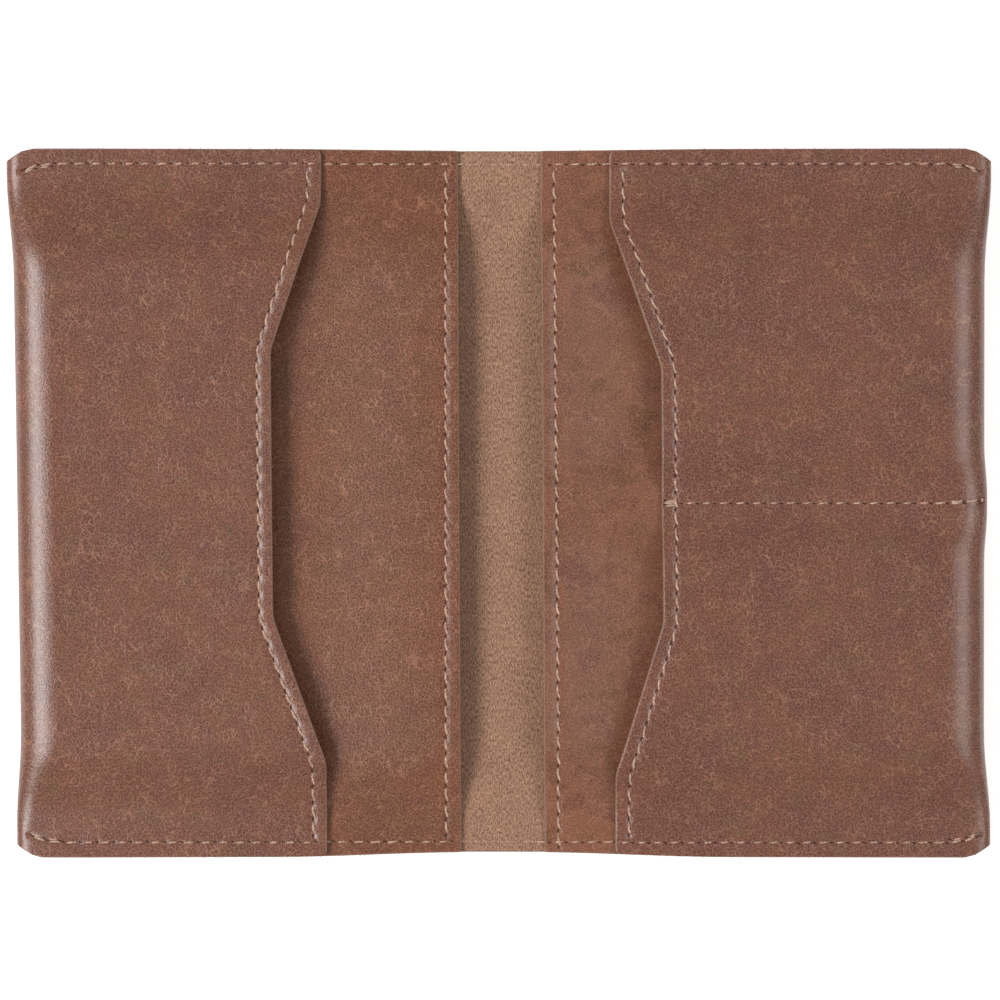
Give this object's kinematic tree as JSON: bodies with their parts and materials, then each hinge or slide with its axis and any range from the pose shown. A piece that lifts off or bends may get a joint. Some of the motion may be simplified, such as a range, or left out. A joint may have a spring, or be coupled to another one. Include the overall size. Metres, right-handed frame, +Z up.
{
  "type": "passport holder",
  "caption": "Leather passport holder lying open: a stitched cover with turned-in pocket flaps, inner passport panels and a folding spine.",
  "frame": {"origin": "middle of the open holder's underside, on the table that it lies on", "axes": "+X from the left half to the right half across the spine, +Y along the spine to the top edge, +Z up from the table"},
  "size_m": [0.1954, 0.14, 0.0087],
  "materials": {
    "cover_leather": "soft satin, pull-up grain",
    "panel_leather": "soft satin, pull-up grain",
    "needle_thread": "twisted sewing thread",
    "bobbin_thread": "twisted sewing thread"
  },
  "bodies": {
    "right_half": {"right_bottom_seam_bobbin_thread": "bobbin_thread", "right_bottom_seam_needle_thread": "needle_thread", "right_card_divider_bobbin_thread": "bobbin_thread", "right_card_divider_needle_thread": "needle_thread", "right_cover": "cover_leather", "right_edge_fold": "cover_leather", "right_flap_hem_bobbin_thread": "bobbin_thread", "right_flap_hem_needle_thread": "needle_thread", "right_panel_hem_bobbin_thread": "bobbin_thread", "right_panel_hem_needle_thread": "needle_thread", "right_passport_panel": "panel_leather", "right_pocket_flap": "cover_leather", "right_top_seam_bobbin_thread": "bobbin_thread", "right_top_seam_needle_thread": "needle_thread"},
    "spine": {"spine_bottom_seam_bobbin_thread": "bobbin_thread", "spine_bottom_seam_needle_thread": "needle_thread", "spine_cover": "cover_leather", "spine_top_seam_bobbin_thread": "bobbin_thread", "spine_top_seam_needle_thread": "needle_thread"},
    "left_half": {"left_bottom_seam_bobbin_thread": "bobbin_thread", "left_bottom_seam_needle_thread": "needle_thread", "left_cover": "cover_leather", "left_edge_fold": "cover_leather", "left_flap_hem_bobbin_thread": "bobbin_thread", "left_flap_hem_needle_thread": "needle_thread", "left_panel_hem_bobbin_thread": "bobbin_thread", "left_panel_hem_needle_thread": "needle_thread", "left_passport_panel": "panel_leather", "left_pocket_flap": "cover_leather", "left_top_seam_bobbin_thread": "bobbin_thread", "left_top_seam_needle_thread": "needle_thread"}
  },
  "joints": [
    {"name": "right_fold", "type": "hinge", "parent": "right_half", "child": "spine", "pos_m": [0.00765, 0, 0.0012], "axis": [0, 1, 0], "range_deg": [0, 90]},
    {"name": "left_fold", "type": "hinge", "parent": "spine", "child": "left_half", "pos_m": [-0.00765, 0, 0.0012], "axis": [0, 1, 0], "range_deg": [0, 90]}
  ]
}
